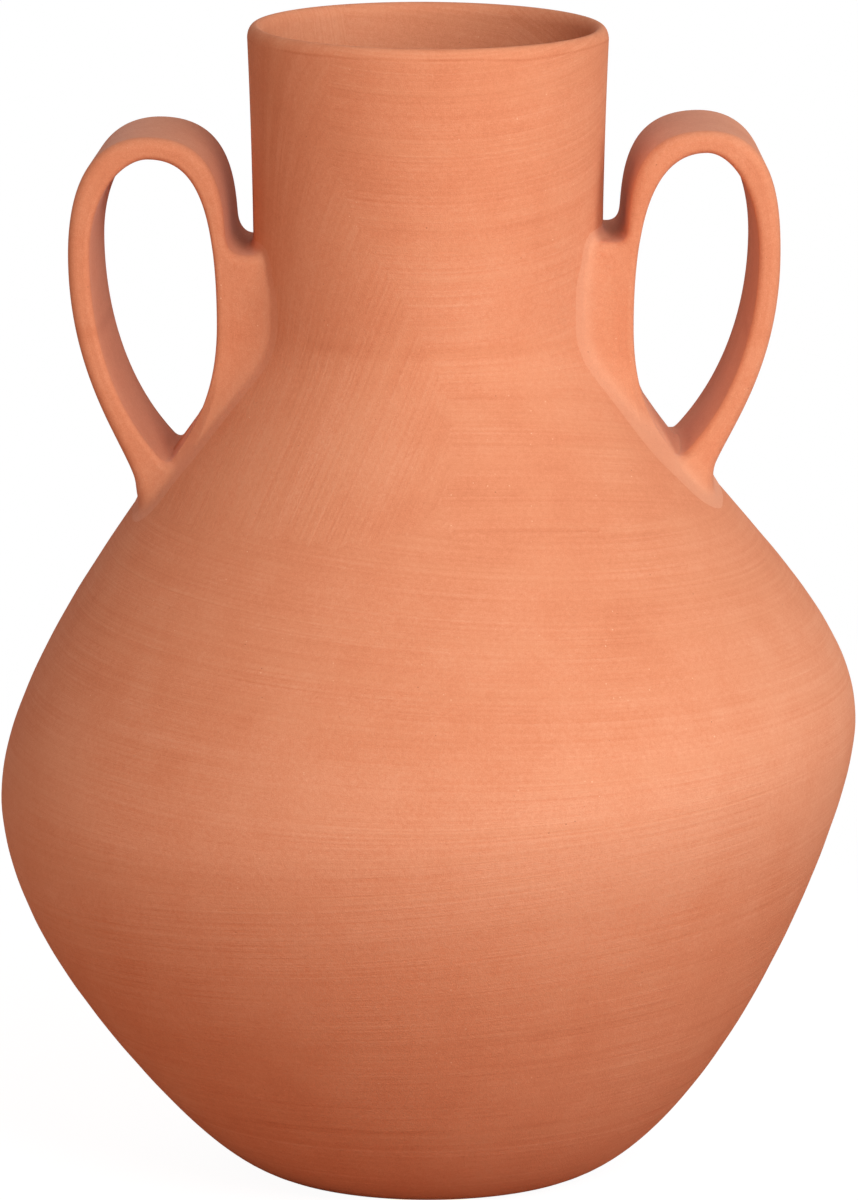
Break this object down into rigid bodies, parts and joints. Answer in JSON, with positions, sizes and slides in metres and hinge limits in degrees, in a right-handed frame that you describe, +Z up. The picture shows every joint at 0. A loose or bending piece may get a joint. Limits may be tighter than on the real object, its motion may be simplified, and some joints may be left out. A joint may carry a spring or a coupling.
{
  "type": "two-handled terracotta vase",
  "caption": "Wheel-thrown unglazed vase with a lopsided round belly, a straight wide neck and a strap handle each side; holds stems, branches or dry sprays.",
  "frame": {"origin": "centre of the flat base that the vase stands on", "axes": "+Z up out of the mouth, +X towards the right handle, -Y towards the viewer of the front"},
  "size_m": [0.267, 0.267, 0.3603],
  "materials": {
    "body_clay": "matt unglazed terracotta with fine throwing and wiping rings",
    "neck_clay": "matt unglazed terracotta with brush and sponge strokes",
    "handle_clay": "matt unglazed terracotta, smoothed by hand"
  },
  "bodies": {
    "root": {"body": "body_clay", "neck": "neck_clay", "left_handle": "handle_clay", "right_handle": "handle_clay"}
  },
  "joints": []
}
